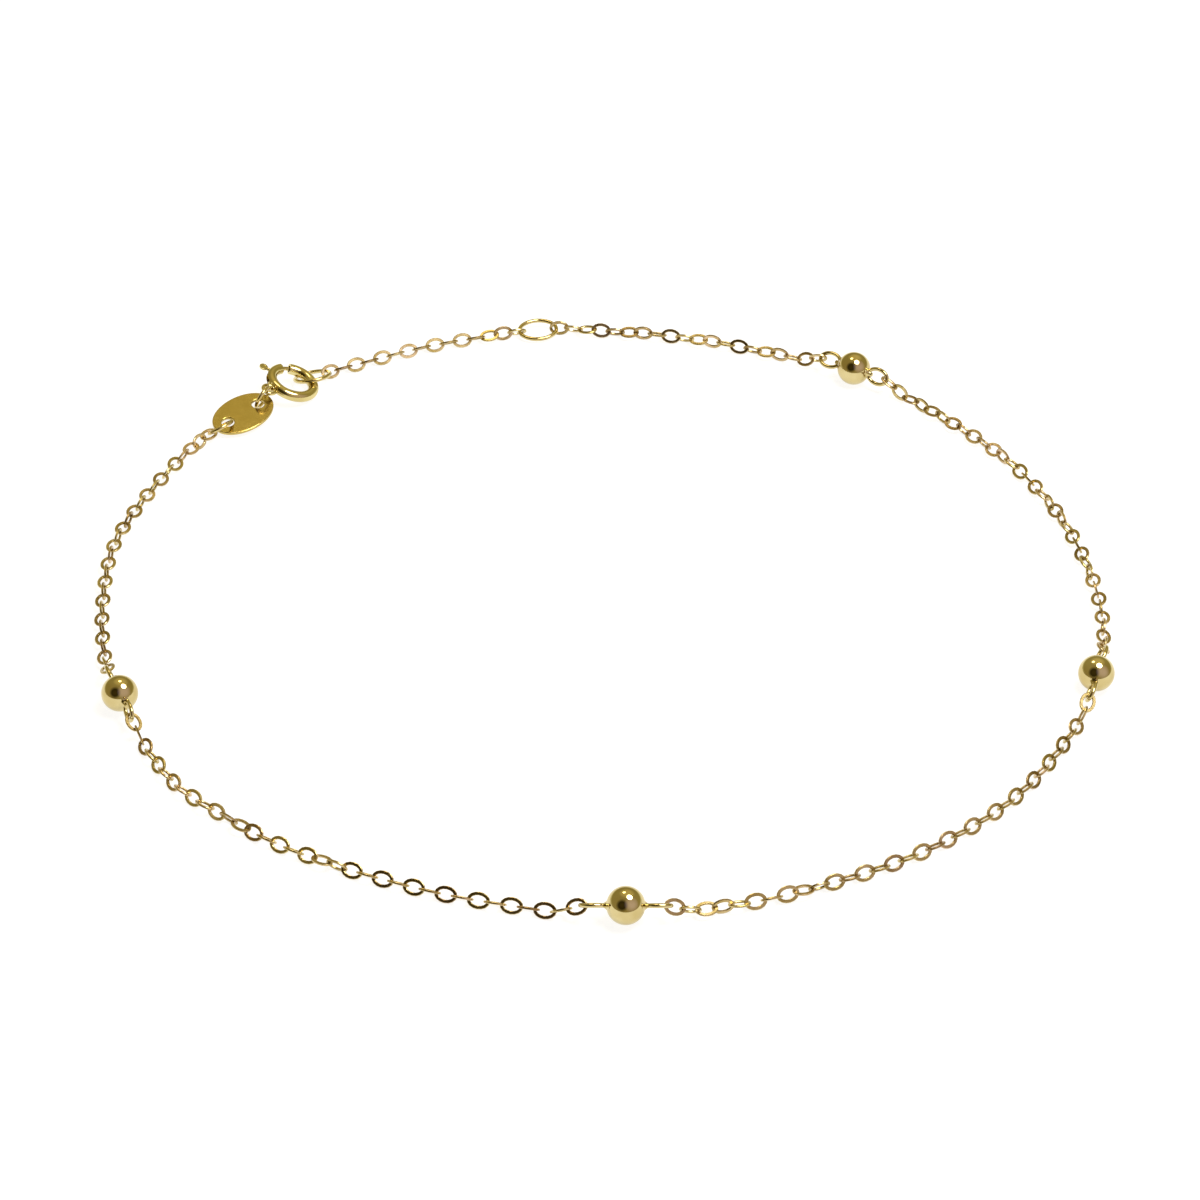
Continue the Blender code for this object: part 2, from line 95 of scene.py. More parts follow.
# The line that the anklet lies on, seen from above: the clasp, the tag, then left, front and right
ROUTE = [
    (-0.0276, 0.0305), (-0.0316, 0.0261), (-0.0349, 0.0226), (-0.0382, 0.0160),
    (-0.0409, 0.0078), (-0.0413, 0.0006), (-0.0406, -0.0070), (-0.0388, -0.0140),
    (-0.0341, -0.0233), (-0.0304, -0.0275), (-0.0235, -0.0326), (-0.0160, -0.0361),
    (-0.0084, -0.0385), (0.0020, -0.0402), (0.0104, -0.0387), (0.0179, -0.0361),
    (0.0254, -0.0321), (0.0323, -0.0260), (0.0375, -0.0180), (0.0401, -0.0118),
    (0.0414, -0.0040), (0.0410, 0.0036), (0.0392, 0.0115), (0.0354, 0.0199),
    (0.0286, 0.0281), (0.0229, 0.0328), (0.0165, 0.0362), (0.0077, 0.0391),
    (-0.0014, 0.0404), (-0.0060, 0.0404), (-0.0149, 0.0379), (-0.0208, 0.0352),
    (-0.0252, 0.0328),
]
settled = Vector((-0.000062, -0.000239, 0.000029))  # brings the whole onto the table, centred


def smooth_line(points, length, steps=24):
    """A closed smooth curve through the points, scaled to a length: its points and distances."""
    samples = []
    count = len(points)
    for k in range(count):
        before, here, there, beyond = (Vector((*points[(k + n) % count], 0)) for n in (-1, 0, 1, 2))
        for step in range(steps):
            t = step / steps
            samples.append(
                0.5 * (2 * here + (there - before) * t
                       + (2 * before - 5 * here + 4 * there - beyond) * t**2
                       + (3 * here - before - 3 * there + beyond) * t**3)
            )
    samples.append(samples[0])
    run = [0.0]
    for here, there in zip(samples, samples[1:]):
        run.append(run[-1] + (there - here).length)
    scale = length / run[-1]
    return [point * scale for point in samples], [reach * scale for reach in run]


line_points, line_run = smooth_line(ROUTE, loop_around)


def at(distance, height=0.0):
    """The point above the line at a distance from the clasp's centre."""
    distance %= loop_around
    k = next((k for k in range(len(line_run) - 1) if distance <= line_run[k + 1]), 0)
    share = (distance - line_run[k]) / (line_run[k + 1] - line_run[k])
    return line_points[k].lerp(line_points[k + 1], share) + Vector((0, 0, height)) + settled


def level_frame(centre, ahead, rise=0.0, bank=0.0):
    """A frame at centre whose X heads for ahead, nose up by rise, with its left side up by bank."""
    way = ahead - centre
    return (
        Matrix.Translation(centre)
        @ Matrix.Rotation(math.atan2(way.y, way.x), 4, "Z")
        @ Matrix.Rotation(-rise, 4, "Y")
        @ Matrix.Rotation(bank, 4, "X")
    )


def link_frame(start, end, roll):
    """A frame midway between two points with X from one to the other, rolled about it."""
    way = end - start
    return level_frame((start + end) / 2, end, math.atan2(way.z, math.hypot(way.x, way.y)), roll)


def lean_at(stretch, index):
    """The roll of a stretch's even links at one of its links."""
    table = STRETCHES[stretch][1]
    for (first, lean), (last, next_lean) in zip(table, table[1:]):
        if index <= last:
            return math.radians(lean + (next_lean - lean) * (index - first) / (last - first))
    return math.radians(table[-1][1])


def roll_at(stretch, index):
    """The roll of one link about the chain's axis."""
    return lean_at(stretch, index) + math.pi / 2 * (index % 2)


def axis_height(stretch, index):
    """Height at which the chain's axis runs with its links standing on their edges on the table."""
    lean = lean_at(stretch, index)
    return resting_reach * max(abs(math.sin(lean)), abs(math.cos(lean))) + resting_wire


def contacts(stretch, distance, first_height, last_height):
    """(distance, height) of each place where links hook, from one end to the other."""
    count = STRETCHES[stretch][0]
    heights = [axis_height(stretch, min(k, count - 1)) for k in range(count + 1)]
    for end_height, order in ((first_height, range(count + 1)), (last_height, range(count, -1, -1))):
        if end_height is not None:
            for step, k in list(enumerate(order))[:descent_links]:
                heights[k] = end_height + (heights[k] - end_height) * step / descent_links
    places = [(distance, heights[0])]
    for k in range(count):
        length = link_pitch - (end_link_slack if k in (0, count - 1) else 0)
        distance += math.sqrt(length**2 - (heights[k + 1] - heights[k]) ** 2)
        places.append((distance, heights[k + 1]))
    return places


ball_height = ball_diameter / 2
where = {}
reached = first_contact
for stretch, piece, hold, first_height, last_height in (
    ("chain_left", "bead_4", ball_loop_reach, None, ball_height),
    ("chain_front_left", "bead_3", ball_loop_reach, ball_height, ball_height),
    ("chain_front_right", "bead_2", ball_loop_reach, ball_height, ball_height),
    ("chain_right", "bead_1", ball_loop_reach, ball_height, ball_height),
    ("chain_back", "adjust_ring", adjust_reach, ball_height, None),
    ("chain_extension", "end_ring", end_ring_reach, None, end_ring_hooked_at),
):
    where[stretch] = contacts(stretch, reached, first_height, last_height)
    where[piece] = where[stretch][-1][0] + hold
    reached = where[piece] + hold


def add_nodes(tree, **kinds):
    """New nodes in a tree, kept under plain names."""
    return {name: tree.nodes.new(kind) for name, kind in kinds.items()}


def set_ramp(node, *stops):
    """Gives a colour ramp its stops, as (position, colour)."""
    ramp = node.color_ramp
    while len(ramp.elements) > 1:
        ramp.elements.remove(ramp.elements[-1])
    ramp.elements[0].position = stops[0][0]
    ramp.elements[0].color = (*stops[0][1], 1)
    for position, colour in stops[1:]:
        ramp.elements.new(position).color = (*colour, 1)


polish_span = (0.3, 0.7)  # of the noise
polish_spread = (0.8, 1.3)  # times the gold's roughness, over that span


def polished_gold(name, deep, pale, rough, grain, relief):
    """Gold whose colour drifts between deep and pale in patches of 1/grain metres, with a polish that
    is finer in some places than in others, and hairline waves as deep as relief."""
    material = bpy.data.materials.new(name)
    material.use_nodes = True
    tree = material.node_tree
    gold = tree.nodes["Principled BSDF"]
    gold.inputs["Metallic"].default_value = 1.0
    new = add_nodes(
        tree, place="ShaderNodeTexCoord", patches="ShaderNodeTexNoise", tints="ShaderNodeValToRGB",
        polish="ShaderNodeTexNoise", rough="ShaderNodeMapRange", waves="ShaderNodeTexNoise",
        relief="ShaderNodeBump",
    )
    for noise, scale, detail in (("patches", grain, 2), ("polish", 3 * grain, 3), ("waves", 2 * grain, 2)):
        new[noise].inputs["Scale"].default_value = scale
        new[noise].inputs["Detail"].default_value = detail
        tree.links.new(new["place"].outputs["Object"], new[noise].inputs["Vector"])
    set_ramp(new["tints"], (0.36, deep), (0.64, pale))
    new["rough"].inputs["From Min"].default_value = polish_span[0]
    new["rough"].inputs["From Max"].default_value = polish_span[1]
    new["rough"].inputs["To Min"].default_value = rough * polish_spread[0]
    new["rough"].inputs["To Max"].default_value = rough * polish_spread[1]
    new["relief"].inputs["Strength"].default_value = 1.0
    new["relief"].inputs["Distance"].default_value = relief
    tree.links.new(new["patches"].outputs["Fac"], new["tints"].inputs["Fac"])
    tree.links.new(new["tints"].outputs["Color"], gold.inputs["Base Color"])
    tree.links.new(new["polish"].outputs["Fac"], new["rough"].inputs["Value"])
    tree.links.new(new["rough"].outputs["Result"], gold.inputs["Roughness"])
    tree.links.new(new["waves"].outputs["Fac"], new["relief"].inputs["Height"])
    tree.links.new(new["relief"].outputs["Normal"], gold.inputs["Normal"])
    return material


chain_gold = polished_gold(
    "chain_gold", deep=(0.47, 0.37, 0.15), pale=(0.69, 0.575, 0.345), rough=0.24, grain=900, relief=1.2e-6
)
# Each link has its own shade, from brownish through yellow to rosy, by its tone
tree = chain_gold.node_tree
new = add_nodes(tree, tone="ShaderNodeAttribute", shades="ShaderNodeValToRGB", tinted="ShaderNodeMix")
new["tone"].attribute_name = "tone"
set_ramp(new["shades"], (0.0, (0.64, 0.54, 0.49)), (0.55, (0.94, 0.92, 0.72)), (1.0, (1.0, 0.92, 1.0)))
new["tinted"].data_type = "RGBA"
new["tinted"].blend_type = "MULTIPLY"
new["tinted"].inputs["Factor"].default_value = 1.0
colour_in = tree.nodes["Principled BSDF"].inputs["Base Color"]
tree.links.new(new["tone"].outputs["Fac"], new["shades"].inputs["Fac"])
tree.links.new(colour_in.links[0].from_socket, new["tinted"].inputs["A"])
tree.links.new(new["shades"].outputs["Color"], new["tinted"].inputs["B"])
tree.links.new(new["tinted"].outputs["Result"], colour_in)


def links_tree():
    """Geometry Nodes: a link at each point of the input, turned by the point's own angles."""
    tree = bpy.data.node_groups.new("Cable chain", "GeometryNodeTree")
    for name, kind in (
        ("Points", "NodeSocketGeometry"), ("Length", "NodeSocketFloat"), ("Width", "NodeSocketFloat"),
        ("Wire", "NodeSocketFloat"), ("Thickness", "NodeSocketFloat"), ("Edge round", "NodeSocketFloat"),
        ("Steps", "NodeSocketInt"), ("Seed", "NodeSocketInt"), ("Material", "NodeSocketMaterial"),
    ):
        tree.interface.new_socket(name, in_out="INPUT", socket_type=kind)
    tree.interface.new_socket("Chain", in_out="OUTPUT", socket_type="NodeSocketGeometry")
    n = add_nodes(
        tree, given="NodeGroupInput", result="NodeGroupOutput", circle="GeometryNodeCurvePrimitiveCircle",
        length="ShaderNodeMath", half_length="ShaderNodeMath", width="ShaderNodeMath",
        half_width="ShaderNodeMath", reach="ShaderNodeCombineXYZ", oval="GeometryNodeTransform",
        upright="GeometryNodeSetCurveNormal", section="GeometryNodeCurvePrimitiveQuadrilateral",
        rounded="GeometryNodeFilletCurve", link="GeometryNodeCurveToMesh",
        turn="GeometryNodeInputNamedAttribute", chain="GeometryNodeInstanceOnPoints",
        shade="FunctionNodeRandomValue", keep="GeometryNodeStoreNamedAttribute",
        real="GeometryNodeRealizeInstances", gold="GeometryNodeSetMaterial",
    )
    for full, half, size in (("length", "half_length", "Length"), ("width", "half_width", "Width")):
        n[full].operation = "SUBTRACT"
        n[half].operation = "MULTIPLY"
        n[half].inputs[1].default_value = 0.5
        tree.links.new(n["given"].outputs[size], n[full].inputs[0])
        tree.links.new(n["given"].outputs["Wire"], n[full].inputs[1])
        tree.links.new(n[full].outputs[0], n[half].inputs[0])
    n["reach"].inputs["Z"].default_value = 1.0
    n["circle"].inputs["Radius"].default_value = 1.0
    n["upright"].mode = "Z_UP"
    n["rounded"].mode = "POLY"
    n["turn"].data_type = "FLOAT_VECTOR"
    n["turn"].inputs["Name"].default_value = "turn"
    n["shade"].data_type = "FLOAT"
    n["keep"].data_type = "FLOAT"
    n["keep"].domain = "INSTANCE"
    n["keep"].inputs["Name"].default_value = "tone"
    for source, output, target, socket in (
        ("given", "Steps", "circle", "Resolution"),
        ("half_length", 0, "reach", "X"), ("half_width", 0, "reach", "Y"),
        ("circle", "Curve", "oval", "Geometry"), ("reach", 0, "oval", "Scale"),
        ("oval", "Geometry", "upright", "Curve"),
        ("given", "Wire", "section", "Width"), ("given", "Thickness", "section", "Height"),
        ("section", "Curve", "rounded", "Curve"), ("given", "Edge round", "rounded", "Radius"),
        ("upright", "Curve", "link", "Curve"), ("rounded", "Curve", "link", "Profile Curve"),
        ("given", "Points", "chain", "Points"), ("link", "Mesh", "chain", "Instance"),
        ("turn", 0, "chain", "Rotation"),
        ("given", "Seed", "shade", "Seed"), ("chain", "Instances", "keep", "Geometry"),
        ("keep", "Geometry", "real", "Geometry"), ("real", "Geometry", "gold", "Geometry"),
        ("given", "Material", "gold", "Material"), ("gold", "Geometry", "result", "Chain"),
    ):
        tree.links.new(n[source].outputs[output], n[target].inputs[socket])
    random_value = next(s for s in n["shade"].outputs if s.type == "VALUE" and s.enabled)
    tree.links.new(random_value, n["keep"].inputs["Value"])
    return tree


def crisp_edges(mesh, sharper_than):
    """Shades a mesh smooth, apart from its edges of more than so many degrees."""
    mesh.shade_smooth()
    mesh.set_sharp_from_angle(angle=math.radians(sharper_than))


def apply_modifiers(obj):
    """Turns what an object's modifiers make of it into its own plain mesh."""
    bpy.context.view_layer.update()
    graph = bpy.context.evaluated_depsgraph_get()
    mesh = bpy.data.meshes.new_from_object(obj.evaluated_get(graph), depsgraph=graph)
    mesh.name = obj.name
    obj.modifiers.clear()
    obj.data = mesh


chain_tree = links_tree()
for seed, stretch in enumerate(STRETCHES):
    count = STRETCHES[stretch][0]
    points = bpy.data.meshes.new(stretch)
    places, turns = [], []
    for k in range(count):
        start, end = (at(*where[stretch][n]) for n in (k, k + 1))
        # An end link hangs a little towards the piece that it hooks into
        slide = end_link_slack / 2 * ((k == count - 1) - (k == 0))
        place = link_frame(start, end, roll_at(stretch, k)) @ Matrix.Translation((slide, 0, 0))
        places.append(place.translation)
        turns.extend(place.to_euler())
    points.from_pydata(places, [], [])
    points.attributes.new("turn", "FLOAT_VECTOR", "POINT").data.foreach_set("vector", turns)
    chain = bpy.data.objects.new(stretch + "_links", points)
    bpy.context.collection.objects.link(chain)
    grown = chain.modifiers.new("Cable chain", "NODES")
    grown.node_group = chain_tree
    given = {"Length": link_length, "Width": link_width, "Wire": link_wire, "Thickness": link_thickness,
             "Edge round": link_edge_round, "Steps": link_steps, "Seed": seed, "Material": chain_gold}
    for socket in chain_tree.interface.items_tree:
        if socket.in_out == "INPUT" and socket.name in given:
            grown[socket.identifier] = given[socket.name]
    apply_modifiers(chain)
    crisp_edges(chain.data, crisp_above)
    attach(chain, "anklet")
    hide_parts(stretch)

# The ball stations. Four hollow balls of thin polished sheet, each with a loop of round wire soldered
# on at both ends, where the solder has drawn up into a small flare. The chain hooks into the loops.
loop_length = 0.0023
loop_width = 0.00172
loop_wire = 0.00036
loop_sunk = 0.00017
flare_foot = 0.00115
flare_top = 0.00036
flare_height = 0.00055
flare_sunk = 0.00013
flare_squash = 0.85  # a flare is narrower across its loop
flare_hollow = 2.4  # a higher power makes its sides hollower
flare_steps = 6
flare_sides = 24
ball_segments = 64
ball_rings = 32
loop_steps = 40
wire_sides = 14


def round_angles(count):
    """So many angles, spread evenly round a circle."""
    return [2 * math.pi * step / count for step in range(count)]


def oval_ring(length, width, wire, steps, sides):
    """A closed ring of round wire, of outer length along X and outer width along Y."""
    shape = bmesh.new()
    rounds = []
    along, across = (length - wire) / 2, (width - wire) / 2
    for angle in round_angles(steps):
        centre = Vector((along * math.cos(angle), across * math.sin(angle), 0))
        outwards = Vector((across * math.cos(angle), along * math.sin(angle), 0)).normalized()
        rounds.append([
            shape.verts.new(centre + (outwards * math.cos(turn) + Vector((0, 0, math.sin(turn)))) * wire / 2)
            for turn in round_angles(sides)
        ])
    for here, there in zip(rounds, rounds[1:] + rounds[:1]):
        for side in range(sides):
            after = (side + 1) % sides
            shape.faces.new((here[side], there[side], there[after], here[after]))
    bmesh.ops.recalc_face_normals(shape, faces=shape.faces)
    return shape


def new_piece(name, shape, material):
    """An object at the origin from a bmesh whose points are in place."""
    mesh = bpy.data.meshes.new(name)
    shape.to_mesh(mesh)
    shape.free()
    mesh.materials.append(material)
    piece = bpy.data.objects.new(name, mesh)
    bpy.context.collection.objects.link(piece)
    return piece


def combine(piece, shapes, operation="UNION"):
    """Joins solids to a piece, or cuts them from it, and leaves a plain mesh."""
    helpers = []
    for number, shape in enumerate(shapes):
        helper = new_piece(f"{piece.name}_helper_{number}", shape, piece.data.materials[0])
        step = piece.modifiers.new(helper.name, "BOOLEAN")
        step.object = helper
        step.operation = operation
        step.solver = "EXACT"
        helpers.append(helper)
    apply_modifiers(piece)
    for helper in helpers:
        bpy.data.objects.remove(helper, do_unlink=True)


def cone(foot, top, height, place, segments=24):
    """A cone or a cylinder that rises along Z from its foot, by diameters."""
    shape = bmesh.new()
    bmesh.ops.create_cone(
        shape, cap_ends=True, segments=segments, radius1=foot / 2, radius2=top / 2, depth=height,
        matrix=place @ Matrix.Translation((0, 0, height / 2)),
    )
    return shape


def skin(shape, rounds):
    """Faces between neighbouring rounds of points, from the first round to the last."""
    for here, there in zip(rounds, rounds[1:]):
        for side in range(len(here)):
            after = (side + 1) % len(here)
            shape.faces.new((here[side], here[after], there[after], there[side]))


def solder_flare(foot, top, height, place):
    """Solder drawn up from a foot to a narrow top, hollow at its sides, by diameters. It rises along Z."""
    shape = bmesh.new()
    rounds = []
    for step in range(flare_steps + 1):
        share = step / flare_steps
        radius = (top + (foot - top) * (1 - share) ** flare_hollow) / 2
        points = [
            Vector((radius * math.cos(turn), radius * math.sin(turn), height * share))
            for turn in round_angles(flare_sides)
        ]
        rounds.append([shape.verts.new(place @ point) for point in points])
    skin(shape, rounds)
    shape.faces.new(list(reversed(rounds[0])))
    shape.faces.new(rounds[-1])
    bmesh.ops.recalc_face_normals(shape, faces=shape.faces)
    return shape


def finish_piece(piece, node, body="anklet", sharper_than=crisp_above):
    """Crisp edges for a piece, its body, and the CAD node that it shows."""
    crisp_edges(piece.data, sharper_than)
    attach(piece, body)
    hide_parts(node)


ball_gold = polished_gold(
    "ball_gold", deep=(0.55, 0.44, 0.19), pale=(0.65, 0.55, 0.28), rough=0.06, grain=500, relief=6e-7
)
for ball, before, after in (
    ("bead_4", "chain_left", "chain_front_left"),
    ("bead_3", "chain_front_left", "chain_front_right"),
    ("bead_2", "chain_front_right", "chain_right"),
    ("bead_1", "chain_right", "chain_back"),
):
    start, end = (at(where[ball] + side * ball_loop_reach, ball_height) for side in (-1, 1))
    place = link_frame(start, end, 0.0)
    shape = bmesh.new()
    bmesh.ops.create_uvsphere(
        shape, u_segments=ball_segments, v_segments=ball_rings, radius=ball_diameter / 2
    )
    shape.transform(place @ Matrix.Rotation(math.pi / 2, 4, "Y"))
    piece = new_piece(ball + "_polished", shape, ball_gold)
    joined = []
    for side, roll in ((-1, roll_at(before, STRETCHES[before][0] - 1)), (1, roll_at(after, 0))):
        outwards = place @ Matrix.Rotation(roll + math.pi / 2, 4, "X")
        loop = oval_ring(loop_length, loop_width, loop_wire, loop_steps, wire_sides)
        middle = side * (ball_diameter / 2 - loop_sunk + loop_length / 2)
        loop.transform(outwards @ Matrix.Translation((middle, 0, 0)))
        along_loop = outwards @ Matrix.Rotation(side * math.pi / 2, 4, "Y")
        foot = along_loop @ Matrix.Translation((0, 0, ball_diameter / 2 - flare_sunk))
        squashed = foot @ Matrix.Diagonal((flare_squash, 1, 1, 1))
        flare = solder_flare(flare_foot, flare_top, flare_height, squashed)
        joined += [loop, flare]
    combine(piece, joined)
    finish_piece(piece, ball)

# The adjusting ring. A plain round-wire ring, larger than the links, soldered shut and let into the
# chain 2.5 cm from its end, where the clasp can close on it to wear the anklet shorter.
adjust_length = 0.0038
adjust_width = 0.003
adjust_wire = 0.00037
adjust_bank = math.radians(7)
ring_steps = 64
ring_sides = 16
adjust_gold = polished_gold(
    "adjust_gold", deep=(0.54, 0.42, 0.16), pale=(0.68, 0.57, 0.27), rough=0.12, grain=700, relief=8e-7
)
height = where["chain_extension"][0][1]
place = level_frame(
    at(where["adjust_ring"], height), at(where["adjust_ring"] + adjust_reach, height), bank=-adjust_bank
)
shape = oval_ring(adjust_length, adjust_width, adjust_wire, ring_steps, ring_sides)
shape.transform(place)
finish_piece(new_piece("adjusting_ring", shape, adjust_gold), "adjust_ring")

# The end ring. A jump ring on the chain's end: the clasp is snapped round it, and it leans on the
# clasp's tube from inside.
end_ring_diameter = 0.00356
end_ring_wire = 0.00037
end_ring_height = 0.00075
end_ring_rise = math.radians(6.7)
end_ring_bank = math.radians(19.5)
end_ring_gold = polished_gold(
    "end_ring_gold", deep=(0.54, 0.42, 0.16), pale=(0.68, 0.57, 0.27), rough=0.12, grain=700, relief=8e-7
)
place = level_frame(
    at(where["end_ring"], end_ring_height), at(loop_around, end_ring_height),
    rise=end_ring_rise, bank=end_ring_bank,
)
shape = oval_ring(end_ring_diameter, end_ring_diameter, end_ring_wire, ring_steps, ring_sides)
shape.transform(place)
finish_piece(new_piece("end_jump_ring", shape, end_ring_gold), "end_ring")

# The clasp's tube. A spring ring of polished tube bent round, open at its mouth, with a slot in its
# outer wall for the lever and a small eye soldered on with a flare. Angles go round from the eye.
clasp_diameter = 0.00491
clasp_tube = 0.00098
clasp_bore = 0.00062
clasp_height = 0.00123
clasp_rise = math.radians(12.9)
clasp_bank = math.radians(16)
mouth_from = math.radians(238)
mouth_to = math.radians(264)
bore_from = math.radians(222)
slot_from = math.radians(287)
slot_to = math.radians(340)
slot_width = 0.00044
eye_diameter = 0.0015
eye_wire = 0.00034
eye_reach = 0.002905
eye_flare_foot = 0.0011
eye_flare_top = 0.0004
eye_flare_height = 0.00022
eye_flare_sunk = 0.0001
tube_steps = 96
tube_sides = 28
bore_steps = 40
bore_sides = 20
slot_steps = 20
clasp_gold = polished_gold(
    "clasp_gold", deep=(0.60, 0.49, 0.20), pale=(0.70, 0.60, 0.28), rough=0.09, grain=450, relief=6e-7
)
clasp_place = level_frame(
    at(0, clasp_height), at(eye_reach, clasp_height), rise=clasp_rise, bank=-clasp_bank
)
clasp_radius = (clasp_diameter - clasp_tube) / 2


def arc_solid(section, start, end, steps):
    """A section, given as (distance from the axis, height), swept about Z, with flat ends."""
    shape = bmesh.new()
    rounds = []
    for step in range(steps + 1):
        turn = Matrix.Rotation(start + (end - start) * step / steps, 4, "Z")
        rounds.append([shape.verts.new(turn @ Vector((reach, 0, height))) for reach, height in section])
    skin(shape, rounds)
    shape.faces.new(rounds[0])
    shape.faces.new(list(reversed(rounds[-1])))
    bmesh.ops.recalc_face_normals(shape, faces=shape.faces)
    return shape


def round_section(wire, sides):
    """The section of a round bar that runs in the middle of the clasp's tube."""
    return [
        (clasp_radius + wire / 2 * math.cos(turn), wire / 2 * math.sin(turn)) for turn in round_angles(sides)
    ]


shape = arc_solid(round_section(clasp_tube, tube_sides), mouth_to, mouth_from + 2 * math.pi, tube_steps)
shape.transform(clasp_place)
clasp = new_piece("clasp_tube", shape, clasp_gold)
eye = oval_ring(eye_diameter, eye_diameter, eye_wire, loop_steps, wire_sides)
eye.transform(clasp_place @ Matrix.Translation((eye_reach, 0, 0)))
beside_eye = clasp_place @ Matrix.Translation((clasp_diameter / 2 - eye_flare_sunk, 0, 0))
foot = beside_eye @ Matrix.Rotation(math.pi / 2, 4, "Y")
flare = solder_flare(eye_flare_foot, eye_flare_top, eye_flare_height, foot)
combine(clasp, [eye, flare])
bore = arc_solid(round_section(clasp_bore, bore_sides), bore_from, slot_to, bore_steps)
bore.transform(clasp_place)
outside = clasp_radius + clasp_tube
notch = [(clasp_radius, -slot_width / 2), (outside, -slot_width / 2),
         (outside, slot_width / 2), (clasp_radius, slot_width / 2)]
slot = arc_solid(notch, slot_from, slot_to, slot_steps)
slot.transform(clasp_place)
combine(clasp, [bore, slot], "DIFFERENCE")
finish_piece(clasp, "clasp_body")

# The clasp's bolt. A bent rod that a spring in the tube pushes across the mouth. Its thumb piece, a
# small dished button on a stem, stands out of the slot, and pulling it round opens the clasp.
bolt_wire = 0.00037
bolt_from = math.radians(229)
bolt_to = math.radians(300)
lever_at = math.radians(294)
lever_reach = 0.00055
lever_stem = 0.0003
button_diameter = 0.00078
button_height = 0.00022
button_round = 0.00006
button_segments = 32
dish_diameter = 0.00054
dish_above = 0.85  # of the button's height, from its middle to the middle of the dish
dish_flat = 0.45
bolt_steps = 28
bolt_sides = 16
bolt_gold = polished_gold(
    "bolt_gold", deep=(0.54, 0.44, 0.17), pale=(0.68, 0.58, 0.27), rough=0.14, grain=900, relief=6e-7
)
shape = arc_solid(round_section(bolt_wire, bolt_sides), bolt_from, bolt_to, bolt_steps)
shape.transform(clasp_place)
bolt = new_piece("bolt_and_lever", shape, bolt_gold)
out = clasp_place @ Matrix.Rotation(lever_at, 4, "Z") @ Matrix.Translation((clasp_radius, 0, 0))
stem = cone(lever_stem, lever_stem, clasp_tube / 2 + lever_reach, out @ Matrix.Rotation(math.pi / 2, 4, "Y"))
middle = out @ Matrix.Translation((clasp_tube / 2 + lever_reach, 0, 0))
button = cone(button_diameter, button_diameter, button_height,
              middle @ Matrix.Translation((0, 0, -button_height / 2)), button_segments)
bmesh.ops.bevel(
    button, geom=button.edges, offset=button_round, segments=3, affect="EDGES", clamp_overlap=True
)
combine(bolt, [stem, button])
dish = bmesh.new()
bmesh.ops.create_uvsphere(
    dish, u_segments=button_segments, v_segments=button_segments // 2, radius=dish_diameter / 2
)
dish.transform(
    middle @ Matrix.Translation((0, 0, button_height * dish_above)) @ Matrix.Diagonal((1, 1, dish_flat, 1))
)
combine(bolt, [dish], "DIFFERENCE")
finish_piece(bolt, "clasp_bolt", "bolt")

# The tag. A plain oval plate stamped from sheet, satin on its face and bright on its rounded rim,
# with a round hole near each end.
tag_length = 0.0062
tag_width = 0.0042
tag_thickness = 0.0003
tag_hole = 0.00115
tag_hole_offset = 0.00175
tag_height = 0.00089
tag_dip = math.radians(6)
tag_bank = math.radians(7.4)
tag_at = 0.0061458  # of its centre, along the way from the clasp's centre
tag_segments = 96
hole_segments = 40
rim_round = 0.00007
rim_segments = 4
rim_above = math.radians(50)  # rounds the edges of both faces, and none between the walls' facets
tag_crisp_above = 10
tag_gold = polished_gold(
    "tag_gold", deep=(0.51, 0.385, 0.115), pale=(0.55, 0.425, 0.14), rough=0.16, grain=700, relief=1e-7
)
hole_at = tag_hole_offset * math.cos(tag_dip)
tag_place = level_frame(
    at(tag_at, tag_height), at(tag_at + hole_at, tag_height), rise=-tag_dip, bank=-tag_bank
)
shape = bmesh.new()
bmesh.ops.create_cone(
    shape, cap_ends=True, segments=tag_segments, radius1=0.5, radius2=0.5, depth=tag_thickness
)
bmesh.ops.scale(shape, verts=shape.verts, vec=(tag_length, tag_width, 1))
shape.transform(tag_place)
tag = new_piece("oval_tag", shape, tag_gold)
holes = [
    cone(tag_hole, tag_hole, 2 * tag_thickness,
         tag_place @ Matrix.Translation((side * tag_hole_offset, 0, -tag_thickness)), hole_segments)
    for side in (-1, 1)
]
combine(tag, holes, "DIFFERENCE")
rim = tag.modifiers.new("Rounded rim", "BEVEL")
rim.width = rim_round
rim.segments = rim_segments
rim.limit_method = "ANGLE"
rim.angle_limit = rim_above
apply_modifiers(tag)
finish_piece(tag, "tag", sharper_than=tag_crisp_above)

# The tag's two jump rings. One stands upright between the clasp's eye and the tag's upper hole, the
# other goes from the lower hole over the rim to the chain's first link.
clasp_ring_radius = 0.00105
clasp_ring_ahead = 0.0001
clasp_ring_above = 0.00008
clasp_ring_lean = math.radians(-22)
chain_ring_length = 0.0023
chain_ring_width = 0.0019
jump_wire = 0.00033
jump_gap = 0.00014
jump_steps = 56
chain_ring_lean = math.radians(-52)
chain_ring_hole_at = math.radians(200)
chain_ring_link_at = math.radians(360)
jump_gold = polished_gold(
    "jump_ring_gold", deep=(0.54, 0.42, 0.16), pale=(0.68, 0.56, 0.27), rough=0.12, grain=800, relief=8e-7
)


